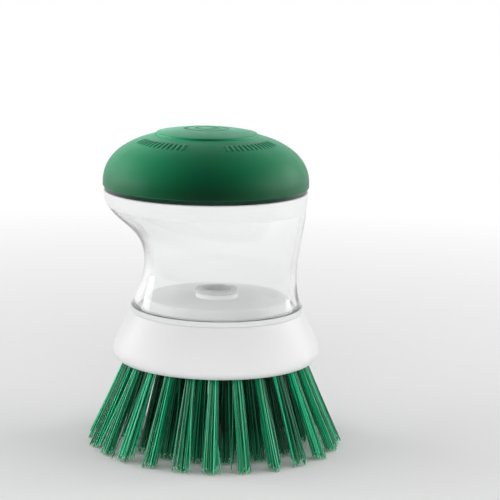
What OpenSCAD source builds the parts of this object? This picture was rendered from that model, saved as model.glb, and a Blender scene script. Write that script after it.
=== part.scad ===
// Palm brush with a soap reservoir.
// The bristle tips stand on z = 0, and the brush axis is the z axis. The cap sits off that axis,
// towards -X, so that the fingers hook under its overhang. All sizes are in millimetres.

/* [Brush head] */
// Height of the skirt's rim above the bristle tips
bristle_reach = 30.25; // [26:0.25:36]
// Height of the skirt from its rim to its collar
skirt_h = 17.35; // [16:0.05:21]
// Radius of the skirt where it is widest
skirt_r = 36.35; // [36:0.05:40]
// Radius of the round along the skirt's rim
rim_round = 3.35; // [2.6:0.05:3.5]
// Radius of the skirt's collar, where the reservoir stands on it
collar_r = 30.0; // [29:0.1:31]
// Thickness of the block that holds the tufts
block_t = 6.0; // [5:0.25:7]
// How far the block's underside bulges at its middle
block_bulge = 1.4; // [0.4:0.2:2]

/* [Tufts] */
// Radius of each tuft hole
tuft_hole_r = 2.1; // [2:0.05:2.2]
// Plastic between the outer holes and the block's edge
hole_edge = 0.92; // [0.7:0.02:1.6]
// Plastic between the inner holes and the spout's hole
hole_core = 3.1; // [2.6:0.1:3.6]
// Outward lean of the outer tufts, in degrees
lean_angle = 23; // [16:0.5:24]
// Half the thickness of a strand, corner to corner
strand_r = 0.45; // [0.35:0.05:0.5]
// Distance at the tips from the middle of a tuft to its other strands
tuft_spread = 2.9; // [2:0.1:3]
// Thickness of the fused backing that holds a ring of tufts together
backing_t = 1.2; // [0.8:0.1:1.6]

/* [Reservoir] */
// Height of the foot ring that stands on the skirt's collar
foot_h = 2.0; // [1.6:0.1:3]
// How far the foot ring stands out over the collar
foot_proud = 0.25; // [0.1:0.05:0.6]
// Height of the grip, from the foot ring to the shoulder
grip_h = 40.6; // [36:0.2:48]
// Wall of the reservoir
wall = 2.0; // [1.6:0.1:2.4]
// Reach of the waist from the brush axis on the finger side
waist_finger = 25.6; // [24:0.2:27]
// Height of the waist above the foot ring on the finger side
waist_finger_h = 15.4; // [13:0.2:18]
// Reach of the waist from the brush axis on the palm side
waist_palm = 28.0; // [26:0.2:29]
// Height of the waist above the foot ring on the palm side
waist_palm_h = 12.0; // [10:0.2:14]
// Offset of the cap's axis from the brush axis
cap_offset = 4.4; // [2:0.2:6]

/* [Neck and thread] */
// Height of the neck above the shoulder
neck_h = 6.8; // [6.8:0.1:8]
// Height of a thread's ridge above its wall
thread_depth = 1.0; // [0.8:0.1:1.1]
// Width of a thread's ridge at its wall
thread_w = 1.8; // [1.4:0.1:1.8]
// Rise of the thread in one turn
thread_lead = 8.0; // [7:0.5:8]
// Gap between the cap's threads and the neck's
thread_play = 0.4; // [0.3:0.05:0.5]

/* [Cap] */
// Height of the band that shows under the rubber
band_h = 1.3; // [1:0.1:2]
// Wall of the threaded ring
ring_wall = 2.2; // [1.8:0.1:2.4]
// Thickness of the rubber's side round the threaded ring
side_t = 2.8; // [2.4:0.1:3.4]
// Thickness of the threaded ring's top
ring_top_t = 1.5; // [1.2:0.1:2]
// Gap between the closed cap and the shoulder
cap_gap = 0.2; // [0.15:0.05:0.4]
// Thickness of the gasket
gasket_t = 1.3; // [1:0.1:1.6]
// Radius of the rubber top where it is widest
dome_r = 36.0; // [35.6:0.1:37]
// Rise of the rubber top above its widest line
dome_rise = 18.7; // [17:0.1:22]
// Thickness of the rubber
rubber_t = 2.2; // [1.8:0.1:2.6]
// Radius of the raised disc that is pressed
pad_r = 17.7; // [16:0.1:19]
// Height of the raised disc above the dome
pad_rise = 0.7; // [0.4:0.1:1]
// Width of the rubber's stiff side, seen from above
side_w = 9.0; // [8:0.1:11]

/* [Valve] */
// Thickness of the reservoir's floor
floor_t = 2.5; // [2:0.1:3]
// Height of the floor above the collar
floor_rise = 4.9; // [4.4:0.1:6]
// Radius of the throat under the valve
throat_r = 4.9; // [4.7:0.1:5.2]
// Width of the silicone valve's rim
valve_rim_w = 1.1; // [0.9:0.1:1.3]
// Thickness of the silicone valve's rim
valve_rim_t = 1.4; // [1:0.1:1.8]
// Radius of the retainer that holds the valve down
retainer_r = 7.6; // [7.2:0.1:8.2]
// Bore radius of the spout
spout_bore_r = 2.4; // [2:0.1:2.6]
// Wall of the spout
spout_wall = 1.2; // [1:0.1:1.4]
// Section radius of the floor's seal
seal_r = 0.72; // [0.6:0.02:0.8]

/* [Hidden] */
$fn = 96;

// Fits
slip = 0.1;        // radial gap of pieces that are pushed together
seat = 0.05;       // gap of faces that press on each other
hair = 0.08;       // gap that parts one moulding where it bends
spigot_slip = 0.15;
flank_gap = 0.15;  // gap between the flanks of the threads
past = 1;          // how far a cut runs past the face that it opens

// Heights
rim_z = bristle_reach;
collar_z = rim_z + skirt_h;
foot_top_z = collar_z + foot_h;
shoulder_z = foot_top_z + grip_h;
lip_z = shoulder_z + neck_h;
band_z = shoulder_z + cap_gap;
band_top_z = band_z + band_h;
rubber_foot_h = 0.8;
widest_z = band_top_z + rubber_foot_h;
gasket_z = lip_z + seat;
ring_under_z = gasket_z + gasket_t + seat;
ring_top_z = ring_under_z + ring_top_t;

// Brush head
rim_recess = 0.75;
rim_land = 0.3;
block_z = rim_z + rim_recess;
block_top_z = block_z + block_t;
block_bore_r = skirt_r - rim_round + rim_land;
block_r = block_bore_r - slip;
collar_wall = 2.0;
collar_bore_r = collar_r - collar_wall;
foot_r = collar_r + foot_proud;
spigot_h = 3.95;
spigot_wall = 2.2;
spigot_r = collar_bore_r - spigot_slip;
spigot_bore_r = spigot_r - spigot_wall;
snap_rise = 0.4;
snap_depth = 2.6;
snap_z = collar_z - snap_depth;
clamp_t = 1.5;
shelf_t = 2.0;
shelf_z = collar_z - spigot_h - seat - clamp_t;

// Tufts: [how many, ring radius on the block's underside, lean]
spout_r = spout_bore_r + spout_wall;
spout_hole_r = spout_r + 2 * slip;
outer_ring_r = block_r - hole_edge - tuft_hole_r / cos(lean_angle);
inner_ring_r = spout_hole_r + hole_core + tuft_hole_r;
ring_step = (outer_ring_r - inner_ring_r) / 3;
lean_shares = [1, 0.64, 0.36, 0.14];  // lean of each ring against the outer one's
RINGS = [
  for (k = [0 : 3])
    [24 - 6 * k, outer_ring_r - k * ring_step, lean_angle * lean_shares[k]]
];
strands = 7;
tip_overrun = 0.5;  // how much the cut on z = 0 takes off the longest strands
tip_uneven = 1.6;   // how much shorter than those a strand can be
hole_room = 0.45;   // room for a tuft to spread inside its hole
tuft_root = tuft_hole_r - strand_r - hole_room;
backing_half = 0.39 * ring_step;
tuft_twist = 30;    // degrees that every other tuft of a ring is turned about itself

// Floor plate and valve
floor_top_z = collar_z + floor_rise;
floor_z = floor_top_z - floor_t;
plate_r = spigot_bore_r - slip;
plate_wall = 1.6;
clamp_r = collar_bore_r - 3 * slip;
clamp_top_z = shelf_z + clamp_t;
seal_lift = 2.0;
seal_z = clamp_top_z + seal_lift;
seal_mid_r = spigot_bore_r - seal_r - seat;
seat_depth = 1.0;
seat_z = floor_top_z - seat_depth;
throat_h = 4.0;
throat_wall = 1.6;
turret_h = 1.5;
turret_z = floor_top_z + turret_h;
retainer_top_t = 1.5;
retainer_top_z = turret_z + retainer_top_t;
valve_inner_r = throat_r - slip;
valve_r = valve_inner_r + valve_rim_w;
pocket_r = valve_r + slip;
rim_top_z = seat_z + valve_rim_t;
sleeve_t = 0.5;
head_r = valve_inner_r - sleeve_t - 2 * hair;
head_t = 0.9;
head_z = seat_z - head_t;
head_dish = 0.5;
slit_w = 0.2;

// Cap
rim_step = 0.3;         // how far the rubber stands out over the shoulder, and the shoulder over the band
shoulder_r = dome_r - rim_step;
band_r = shoulder_r - rim_step;
ring_r = dome_r - side_t;
ring_bore_r = ring_r - ring_wall;
crest_r = ring_bore_r - thread_play;
neck_r = crest_r - thread_depth;
neck_bore_r = neck_r - wall;
ring_lip = 0.8;         // how far the ring's top reaches in over the gasket
ring_lip_r = neck_bore_r - ring_lip;
ring_chamfer = 1.7;
web_r = dome_r - side_w;
dome_power = 2.35;      // 2 would make the dome a half ellipse
bond_t = 0.2;           // how much thicker the rubber is where it joins the ring
under_r = dome_r - rubber_t - bond_t;
under_rise = dome_rise - rubber_t;
rubber_steps = 12;      // straight stretches of each of the rubber's curves

// Threads
thread_starts = 2;
thread_turn = 144;      // degrees that one ridge runs
thread_fade = 18;       // degrees over which its ends run out
thread_steps = 48;      // facets in a turn
thread_lift = 2.0;
neck_thread_z = shoulder_z + thread_lift;
cap_thread_lag = 36;    // degrees that the cap's ridges start after the neck's
crest_share = 0.5;      // width of a ridge's crest against its root
flank = thread_w * (1 - crest_share) / 2 / thread_depth;
// How far the cap's ridges run below the neck's, which hold them down
cap_thread_drop = thread_w - flank * (thread_depth + thread_play) + flank_gap;
cap_thread_z = neck_thread_z + thread_lead * cap_thread_lag / 360 - cap_thread_drop;

function flatten(list) = [for (part = list) for (item = part) item];

// A cubic curve through p[0] and p[3], and its direction
function curve(p, t) =
  pow(1 - t, 3) * p[0] + 3 * t * pow(1 - t, 2) * p[1] + 3 * t * t * (1 - t) * p[2] + pow(t, 3) * p[3];
function heading(p, t) =
  3 * pow(1 - t, 2) * (p[1] - p[0]) + 6 * t * (1 - t) * (p[2] - p[1]) + 3 * t * t * (p[3] - p[2]);

// A point of the curve, set in from it by depth on the side of the axis
function inset(p, t, depth) =
  let (d = heading(p, t) / norm(heading(p, t)))
  curve(p, t) + depth * [-d[1], d[0]];

// A closed skin over rings of points, which run anticlockwise seen from above
module skin(rings) {
  n = len(rings[0]);
  last = len(rings) - 1;
  sides = [
    for (j = [0 : last - 1], i = [0 : n - 1])
      let (a = j * n + i, b = j * n + (i + 1) % n)
      each [[a, a + n, b + n], [a, b + n, b]]
  ];
  foot = [[for (i = [0 : n - 1]) i]];
  top = [[for (i = [n - 1 : -1 : 0]) last * n + i]];
  polyhedron(points = flatten(rings), faces = concat(foot, sides, top));
}

// Grip

// The grip's outline on each side: two cubic curves that meet upright at the waist, each given by its
// ends and its two handles, as [reach from the brush axis, height]. A pull is how long the two handles
// of a curve are, as shares of its height.
finger_low_pull = [0.23, 0.32];
finger_high_pull = [0.59, 0.44];
palm_low_pull = [0.32, 0.3];
palm_high_pull = [0.2, 0.42];
foot_lean = 1.6;
foot_step = 0.45;
palm_lean = 0.4;
finger_waist_z = foot_top_z + waist_finger_h;
palm_waist_z = foot_top_z + waist_palm_h;
grip_foot_r = foot_r - foot_step;
finger_reach = shoulder_r + cap_offset;
palm_reach = shoulder_r - cap_offset;
finger_rise = shoulder_z - finger_waist_z;
palm_rise = shoulder_z - palm_waist_z;
FINGER_LOW = [
  [grip_foot_r, foot_top_z],
  [grip_foot_r - foot_lean, foot_top_z + finger_low_pull[0] * waist_finger_h],
  [waist_finger, finger_waist_z - finger_low_pull[1] * waist_finger_h],
  [waist_finger, finger_waist_z]
];
FINGER_HIGH = [
  [waist_finger, finger_waist_z],
  [waist_finger, finger_waist_z + finger_high_pull[0] * finger_rise],
  [finger_reach, shoulder_z - finger_high_pull[1] * finger_rise],
  [finger_reach, shoulder_z]
];
PALM_LOW = [
  [grip_foot_r, foot_top_z],
  [grip_foot_r - foot_lean, foot_top_z + palm_low_pull[0] * waist_palm_h],
  [waist_palm, palm_waist_z - palm_low_pull[1] * waist_palm_h],
  [waist_palm, palm_waist_z]
];
PALM_HIGH = [
  [waist_palm, palm_waist_z],
  [waist_palm, palm_waist_z + palm_high_pull[0] * palm_rise],
  [palm_reach - palm_lean, shoulder_z - palm_high_pull[1] * palm_rise],
  [palm_reach, shoulder_z]
];
grip_sides = 48;
low_steps = 5;
high_steps = 10;

// The tilted circle that has the two outline points at the ends of a diameter
function section(finger, palm) =
  let (
    middle = [(palm[0] - finger[0]) / 2, 0, (palm[1] + finger[1]) / 2],
    half = [(palm[0] + finger[0]) / 2, 0, (palm[1] - finger[1]) / 2]
  )
  [for (i = [0 : grip_sides - 1])
    let (a = 360 * i / grip_sides)
    middle + half * cos(a) + [0, norm(half) * sin(a), 0]];

function level_circle(x, z, r) =
  [for (i = [0 : grip_sides - 1]) let (a = 360 * i / grip_sides) [x + r * cos(a), r * sin(a), z]];

module grip_outside() {
  skin(concat(
    [level_circle(0, foot_top_z - foot_h / 2, grip_foot_r)],
    [for (i = [0 : low_steps - 1]) let (t = i / low_steps)
      section(curve(FINGER_LOW, t), curve(PALM_LOW, t))],
    [for (i = [0 : high_steps]) let (t = i / high_steps)
      section(curve(FINGER_HIGH, t), curve(PALM_HIGH, t))]
  ));
}

module grip_inside() {
  corner_fill = 1.2;
  inner_top_r = shoulder_r - wall - corner_fill;
  skin(concat(
    [level_circle(0, foot_top_z - foot_h / 2, grip_foot_r - wall)],
    [for (i = [1 : low_steps - 1]) let (t = i / low_steps)
      section(inset(FINGER_LOW, t, wall), inset(PALM_LOW, t, wall))],
    [for (i = [0 : high_steps - 1]) let (t = i / high_steps)
      section(inset(FINGER_HIGH, t, wall), inset(PALM_HIGH, t, wall))],
    [level_circle(-cap_offset, shoulder_z - wall, inner_top_r)]
  ));
}

// Thread

// One ridge that climbs by the lead. It stands out of the wall at radius r, outwards where side is 1
// and inwards where side is -1, from the height z at the angle start.
module ridge(r, side, z, start) {
  steps = round(thread_turn * thread_steps / 360);
  sunk = 0.4;
  rings = [
    for (i = [0 : steps])
      let (
        turn = thread_turn * i / steps,
        fade = max(0.1, min(1, turn / thread_fade, (thread_turn - turn) / thread_fade)),
        a = start + turn,
        mid = z + thread_lead * turn / 360,
        root = r - side * sunk,
        crest = r + side * thread_depth * fade,
        w = thread_w / 2,
        c = w * crest_share
      )
      [for (p = [[root, mid - w], [crest, mid - c], [crest, mid + c], [root, mid + w]])
        [p[0] * cos(a), p[0] * sin(a), p[1]]]
  ];
  skin(side < 0 ? rings : [for (ring = rings) [ring[0], ring[3], ring[2], ring[1]]]);
}

module threads(r, side, z, start) {
  for (k = [0 : thread_starts - 1])
    ridge(r, side, z, start + 360 * k / thread_starts);
}

// Reservoir

module foot_profile() {
  chamfer = 0.25;
  lead_in = 0.35;
  snap_half = 0.7;
  polygon([
    [0, collar_z - spigot_h],
    [spigot_r - lead_in, collar_z - spigot_h],
    [spigot_r, collar_z - spigot_h + lead_in],
    [spigot_r, snap_z - snap_half],
    [spigot_r + snap_rise, snap_z],
    [spigot_r, snap_z + snap_half],
    [spigot_r, collar_z],
    [foot_r - chamfer, collar_z],
    [foot_r, collar_z + chamfer],
    [foot_r, foot_top_z - chamfer],
    [foot_r - chamfer, foot_top_z],
    [0, foot_top_z]
  ]);
}

module reservoir() {
  color([0.93, 0.95, 0.95, 0.35])
    difference() {
      union() {
        grip_outside();
        rotate_extrude() foot_profile();
        translate([-cap_offset, 0, shoulder_z - wall])
          cylinder(r = neck_r, h = wall + neck_h);
        translate([-cap_offset, 0, 0])
          threads(neck_r, 1, neck_thread_z, 0);
      }
      grip_inside();
      translate([0, 0, collar_z - spigot_h - past])
        cylinder(r = spigot_bore_r, h = spigot_h + foot_h + past);
      translate([-cap_offset, 0, shoulder_z - wall - past])
        cylinder(r = neck_bore_r, h = wall + neck_h + 2 * past);
    }
}

// Brush head

// The flare of the skirt, with a handle at each end of its curve
flare_out = 2.0;
flare_down = 3.1;
flare_up = 3.4;
function skirt_flare() =
  let (widest = rim_z + rim_round)
  [
    [collar_r, collar_z],
    [collar_r + flare_out, collar_z - flare_down],
    [skirt_r, widest + flare_up],
    [skirt_r, widest]
  ];

module skirt() {
  stop_w = 1.9;
  ledge_gap = 0.4;
  ledge_r = spigot_bore_r + ledge_gap;
  snap_half = 1.0;
  flare_steps = 10;
  color("white")
    rotate_extrude()
      polygon(concat(
        [for (i = [0 : flare_steps]) curve(skirt_flare(), i / flare_steps)],
        [for (a = [15 : 15 : 75])
          [skirt_r - rim_round + rim_round * cos(a), rim_z + rim_round - rim_round * sin(a)]],
        [
          [block_bore_r + rim_land, rim_z],
          [block_bore_r, rim_z],
          [block_bore_r, block_top_z],
          [block_bore_r - stop_w, block_top_z],
          [block_bore_r - stop_w, shelf_z - shelf_t],
          [ledge_r, shelf_z - shelf_t],
          [ledge_r, shelf_z],
          [collar_bore_r, shelf_z],
          [collar_bore_r, snap_z - snap_half],
          [collar_bore_r + snap_rise, snap_z],
          [collar_bore_r, snap_z + snap_half],
          [collar_bore_r, collar_z]
        ]
      ));
}

// Distance of a tuft's own axis from the brush axis, at height z
function tuft_axis(ring, z) = ring[1] + (block_z - z) * tan(ring[2]);

// Direction of tuft i of a ring, in degrees. The outer ring has a tuft straight in front.
function tuft_turn(ring, i) = 360 * (i + (ring[0] % 4) / 4) / ring[0] - 90;

module tuft_block() {
  bulge_r = (block_r * block_r + block_bulge * block_bulge) / (2 * block_bulge);
  bulge_steps = 8;
  lead_in = 4;
  color("white")
    difference() {
      rotate_extrude()
        polygon(concat(
          [for (i = [0 : bulge_steps])
            let (r = block_r * i / bulge_steps)
            [r, block_z - block_bulge + bulge_r - sqrt(bulge_r * bulge_r - r * r)]],
          [[block_r, block_top_z], [0, block_top_z]]
        ));
      for (ring = RINGS, i = [0 : ring[0] - 1])
        rotate([0, 0, tuft_turn(ring, i)])
          translate([ring[1], 0, block_z])
            rotate([0, -ring[2], 0])
              translate([0, 0, -lead_in])
                cylinder(r = tuft_hole_r, h = lead_in + 2 * block_t);
      translate([0, 0, block_z - block_bulge - past])
        cylinder(r = spout_hole_r, h = block_t + block_bulge + 2 * past);
    }
}

module strand(root, tip) {
  along = tip - root;
  half_side = 45;
  translate(root)
    rotate([0, acos(along[2] / norm(along)), atan2(along[1], along[0])])
      rotate([0, 0, half_side])
        cylinder(r = strand_r, h = norm(along), $fn = 4);
}

// One tuft, on the +X side: a strand in its middle and the others round it, spreading to the tips
module tuft(ring, turn, seed) {
  root_z = block_top_z + backing_t / 2;
  short = rands(0, tip_uneven, strands, seed);
  for (k = [0 : strands - 1]) {
    aside = k == 0 ? [0, 0, 0] : [cos(turn + 60 * k), sin(turn + 60 * k), 0];
    tip_z = k == 0 ? -tip_overrun : max(short[k] - tip_uneven / 2, -tip_overrun);
    strand(
      [tuft_axis(ring, root_z), 0, root_z] + aside * tuft_root,
      [tuft_axis(ring, tip_z), 0, tip_z] + aside * tuft_spread
    );
  }
}

module tuft_ring(ring, seed) {
  middle = tuft_axis(ring, block_top_z);
  floor_side = 200;
  color([0.0, 0.42, 0.24])
    difference() {
      union() {
        translate([0, 0, block_top_z])
          rotate_extrude()
            translate([middle - backing_half, 0])
              square([2 * backing_half, backing_t]);
        for (i = [0 : ring[0] - 1])
          rotate([0, 0, tuft_turn(ring, i)])
            tuft(ring, tuft_twist * (i % 2), seed + i);
      }
      translate([-floor_side / 2, -floor_side / 2, -floor_side])
        cube(floor_side);
    }
}

module outer_tufts() tuft_ring(RINGS[0], 100);
module second_tufts() tuft_ring(RINGS[1], 200);
module third_tufts() tuft_ring(RINGS[2], 300);
module inner_tufts() tuft_ring(RINGS[3], 400);

// Floor plate and valve

module floor_plate() {
  spout_end_z = block_z - block_bulge;
  groove_half = seal_r + slip;
  groove_r = seal_mid_r - seal_r - seat;
  throat_floor_z = seat_z - throat_h;
  cone_h = 2.0;
  edge = 0.5;
  turret_r = retainer_r - 2 * slip;
  color("white")
    rotate_extrude()
      polygon([
        [pocket_r, seat_z],
        [pocket_r, turret_z],
        [turret_r, turret_z],
        [turret_r, floor_top_z],
        [plate_r - edge, floor_top_z],
        [plate_r, floor_top_z - edge],
        [plate_r, seal_z + groove_half],
        [groove_r, seal_z + groove_half],
        [groove_r, seal_z - groove_half],
        [plate_r, seal_z - groove_half],
        [plate_r, clamp_top_z],
        [clamp_r, clamp_top_z],
        [clamp_r, shelf_z],
        [groove_r - plate_wall, shelf_z],
        [groove_r - plate_wall, floor_z],
        [throat_r + throat_wall, floor_z],
        [throat_r + throat_wall, throat_floor_z - throat_wall],
        [spout_r, throat_floor_z - throat_wall - cone_h],
        [spout_r, spout_end_z],
        [spout_bore_r, spout_end_z],
        [spout_bore_r, throat_floor_z - cone_h],
        [throat_r, throat_floor_z],
        [throat_r, seat_z]
      ]);
}

module floor_seal() {
  color("ivory")
    rotate_extrude()
      translate([seal_mid_r, seal_z])
        circle(r = seal_r);
}

module valve_rim() {
  color("gainsboro")
    translate([0, 0, seat_z])
      rotate_extrude()
        translate([valve_inner_r, 0])
          square([valve_rim_w, valve_rim_t]);
}

module valve_sleeve() {
  color("gainsboro")
    translate([0, 0, head_z])
      rotate_extrude()
        translate([head_r + hair, 0])
          square([sleeve_t, head_t + valve_rim_t]);
}

module valve_head() {
  dish_r = (head_r * head_r + head_dish * head_dish) / (2 * head_dish);
  slit_l = 1.5 * head_r;
  color("gainsboro")
    translate([0, 0, head_z])
      difference() {
        cylinder(r = head_r, h = head_t + head_dish);
        translate([0, 0, head_t + dish_r])
          sphere(r = dish_r);
        for (a = [0, 90])
          rotate([0, 0, a])
            translate([-slit_l / 2, -slit_w / 2, -past])
              cube([slit_l, slit_w, head_t + head_dish + 2 * past]);
      }
}

module valve_retainer() {
  bore_r = valve_inner_r + 2 * slip;
  edge = 0.4;
  color("silver")
    rotate_extrude()
      polygon([
        [bore_r, rim_top_z],
        [valve_r, rim_top_z],
        [valve_r, turret_z],
        [retainer_r, turret_z],
        [retainer_r, retainer_top_z - edge],
        [retainer_r - edge, retainer_top_z],
        [bore_r + edge, retainer_top_z],
        [bore_r, retainer_top_z - edge]
      ]);
}

// Cap

module cap_gasket() {
  color("ivory")
    translate([-cap_offset, 0, gasket_z])
      rotate_extrude()
        translate([neck_bore_r + slip, 0])
          square([ring_bore_r - neck_bore_r - 2 * slip, gasket_t]);
}

module cap_ring() {
  color([0.0, 0.24, 0.15])
    translate([-cap_offset, 0, 0]) {
      rotate_extrude()
        polygon([
          [ring_bore_r, band_z],
          [band_r, band_z],
          [band_r, band_top_z],
          [ring_r, band_top_z],
          [ring_r, ring_top_z - ring_chamfer],
          [ring_r - ring_chamfer, ring_top_z],
          [ring_lip_r, ring_top_z],
          [ring_lip_r, ring_under_z],
          [ring_bore_r, ring_under_z]
        ]);
      threads(ring_bore_r, -1, cap_thread_z, cap_thread_lag);
    }
}

// The rubber's outside and underside: their height at a distance r from the cap's axis, and how far
// out they are at a height z
function dome(r, reach, rise) = widest_z + rise * pow(1 - pow(r / reach, dome_power), 1 / dome_power);
function outside_z(r) = dome(r, dome_r, dome_rise);
function under_z(r) = dome(r, under_r, under_rise);
function reach_at(z, reach, rise) =
  reach * pow(1 - pow((z - widest_z) / rise, dome_power), 1 / dome_power);

// A number from a to b, i steps of the rubber's curves along
function step_to(a, b, i) = a + (b - a) * i / rubber_steps;

module rubber_wall() {
  foot_in = 0.15;
  bond_h = 0.3;
  color([0.0, 0.36, 0.2])
    translate([-cap_offset, 0, 0])
      rotate_extrude()
        polygon(concat(
          [[ring_r, band_top_z], [dome_r - foot_in, band_top_z]],
          [for (i = [0 : rubber_steps])
            let (z = step_to(widest_z, outside_z(web_r), i))
            [reach_at(z, dome_r, dome_rise), z]],
          [for (i = [0 : rubber_steps])
            let (z = step_to(under_z(web_r), ring_top_z + bond_h, i))
            [reach_at(z, under_r, under_rise), z]],
          [[ring_r - ring_chamfer, ring_top_z], [ring_r, ring_top_z - ring_chamfer]]
        ));
}

module rubber_web() {
  inner_r = pad_r + hair;
  color([0.0, 0.36, 0.2])
    translate([-cap_offset, 0, 0])
      rotate_extrude()
        polygon(concat(
          [for (i = [0 : rubber_steps]) let (r = step_to(inner_r, web_r, i)) [r, outside_z(r)]],
          [for (i = [0 : rubber_steps]) let (r = step_to(web_r, inner_r, i)) [r, under_z(r)]]
        ));
}

module rubber_pad() {
  edge = 0.6;
  color([0.0, 0.36, 0.2])
    translate([-cap_offset, 0, 0])
      rotate_extrude()
        polygon(concat(
          [for (i = [0 : rubber_steps]) let (r = step_to(0, pad_r - edge, i)) [r, outside_z(r) + pad_rise]],
          [[pad_r, outside_z(pad_r) + pad_rise - edge]],
          [for (i = [0 : rubber_steps]) let (r = step_to(pad_r, 0, i)) [r, under_z(r)]]
        ));
}

skirt();
tuft_block();
outer_tufts();
second_tufts();
third_tufts();
inner_tufts();
reservoir();
floor_plate();
floor_seal();
valve_rim();
valve_sleeve();
valve_head();
valve_retainer();
cap_gasket();
cap_ring();
rubber_wall();
rubber_web();
rubber_pad();
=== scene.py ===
"""The looks of a palm brush with a clear soap reservoir, laid out as a Blender add-on.

Every length is in metres. The bristle tips stand on z = 0 and the brush axis is the z axis. The
cap's axis is parallel to it, on the finger side, towards -X.
"""

import math
import random

import bmesh
import bpy
from bpy.props import FloatProperty, FloatVectorProperty, IntProperty, PointerProperty
from mathutils import Euler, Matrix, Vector


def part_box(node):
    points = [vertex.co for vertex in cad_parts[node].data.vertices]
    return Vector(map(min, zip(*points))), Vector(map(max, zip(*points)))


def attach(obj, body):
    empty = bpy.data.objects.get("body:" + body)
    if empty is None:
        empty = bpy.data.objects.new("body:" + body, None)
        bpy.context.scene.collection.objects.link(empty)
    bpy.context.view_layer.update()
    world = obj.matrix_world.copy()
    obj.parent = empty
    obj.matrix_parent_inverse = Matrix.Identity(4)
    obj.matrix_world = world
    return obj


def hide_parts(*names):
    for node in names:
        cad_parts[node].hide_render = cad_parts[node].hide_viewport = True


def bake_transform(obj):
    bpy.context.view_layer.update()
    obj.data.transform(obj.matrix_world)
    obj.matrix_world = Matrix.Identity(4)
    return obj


bl_info = {
    "name": "Palm Brush",
    "version": (1, 0, 0),
    "blender": (4, 5, 0),
    "location": "3D View > Sidebar > Brush",
    "description": "Builds the visible pieces of a soap dispensing palm brush round its frame",
    "category": "Object",
}

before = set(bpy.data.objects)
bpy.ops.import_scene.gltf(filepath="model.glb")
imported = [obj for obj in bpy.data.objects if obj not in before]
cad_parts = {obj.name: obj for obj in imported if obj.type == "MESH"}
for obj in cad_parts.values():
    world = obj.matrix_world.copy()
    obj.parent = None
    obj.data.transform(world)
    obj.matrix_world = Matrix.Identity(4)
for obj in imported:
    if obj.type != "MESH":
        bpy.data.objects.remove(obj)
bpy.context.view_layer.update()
MM = 0.001
UP = Vector((0, 0, 1))

SKIRT_LOW, SKIRT_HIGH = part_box("skirt")
RUBBER_LOW, RUBBER_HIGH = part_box("rubber_wall")
PAD_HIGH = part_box("rubber_pad")[1]
BLOCK_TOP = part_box("tuft_block")[1].z
LIP_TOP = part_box("reservoir")[1].z
RING_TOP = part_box("cap_ring")[1].z
WIDEST, DISC_RISE = 92.5, 0.7  # in millimetres


# Properties


def length(name, description, default):
    return FloatProperty(
        name=name, description=description, default=default, min=0, unit="LENGTH", precision=5
    )


def colour(name, description, default):
    return FloatVectorProperty(
        name=name, description=description, default=default, size=4, min=0, max=1, subtype="COLOR"
    )


def share(name, description, default):
    return FloatProperty(
        name=name, description=description, default=default, min=0, max=1, subtype="FACTOR"
    )


def watts(name, description, default):
    return FloatProperty(name=name, description=description, default=default, unit="POWER")


def angle(name, description, degrees):
    return FloatProperty(
        name=name, description=description, default=math.radians(degrees), subtype="ANGLE"
    )


class ReservoirSizes(bpy.types.PropertyGroup):
    """Sizes of the clear reservoir"""

    collar_z: length("Collar height", "Where the foot ring stands on the skirt", SKIRT_HIGH.z)
    foot_h: length("Foot ring height", "Height of the foot ring", 2 * MM)
    foot_r: length("Foot ring radius", "Radius of the foot ring", 30.25 * MM)
    wall: length("Wall", "Thickness of the moulded wall", 2 * MM)
    waist_finger: length("Finger waist", "Reach of the waist on the finger side", 25.6 * MM)
    waist_palm: length("Palm waist", "Reach of the waist on the palm side", 28 * MM)
    shoulder_z: length("Shoulder height", "Where the neck stands on the grip", 90.2 * MM)
    shoulder_r: length("Shoulder radius", "Radius of the shoulder", 35.7 * MM)
    lip_z: length("Lip height", "Top of the neck", LIP_TOP)
    neck_r: length("Neck radius", "Radius of the neck between its threads", 29.6 * MM)
    thread_depth: length("Thread depth", "Height of the threads on the neck", 1 * MM)


class CapSizes(bpy.types.PropertyGroup):
    """Sizes of the rubber top"""

    offset: length(
        "Offset", "How far the cap's axis lies from the brush axis",
        -(RUBBER_LOW.x + RUBBER_HIGH.x) / 2,
    )
    foot_z: length("Foot height", "Lower edge of the rubber", RUBBER_LOW.z)
    widest_z: length("Widest height", "Where the rubber is widest", WIDEST * MM)
    radius: length("Radius", "Radius of the rubber where it is widest", RUBBER_HIGH.y)
    rise: length(
        "Rise", "Rise of the dome above its widest line", PAD_HIGH.z - (WIDEST + DISC_RISE) * MM
    )
    pad_r: length("Disc radius", "Radius of the raised disc that is pressed", PAD_HIGH.y)
    pad_rise: length("Disc height", "Height of the raised disc above the dome", DISC_RISE * MM)
    rib_h: length("Rib height", "Height of the grip ribs, and depth of the disc's rings", 0.24 * MM)


class SkirtSizes(bpy.types.PropertyGroup):
    """Sizes of the white skirt"""

    rim_z: length("Rim height", "Lower edge of the skirt", SKIRT_LOW.z)
    radius: length("Radius", "Radius of the skirt where it is widest", SKIRT_HIGH.y)
    collar_r: length("Collar radius", "Radius of the skirt's top", 30 * MM)
    rim_round: length("Rim round", "Radius of the round along the rim", 3.35 * MM)


class BristleSizes(bpy.types.PropertyGroup):
    """Sizes of the tufts"""

    filament_r: length("Filament radius", "Half the thickness of a filament", 0.235 * MM)
    hole_r: length("Hole radius", "Radius of a tuft inside its hole", 1.82 * MM)
    spread_out: length("Outward spread", "Half a tuft's depth at the tips", 2.3 * MM)
    spread_side: length("Sideways spread", "Half a tuft's width at the tips", 2.6 * MM)
    uneven: length("Unevenness", "How much shorter than the longest a filament can be", 2.4 * MM)
    count: IntProperty(
        name="Filaments", description="Filaments in each tuft", default=34, min=7, max=80
    )


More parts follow.
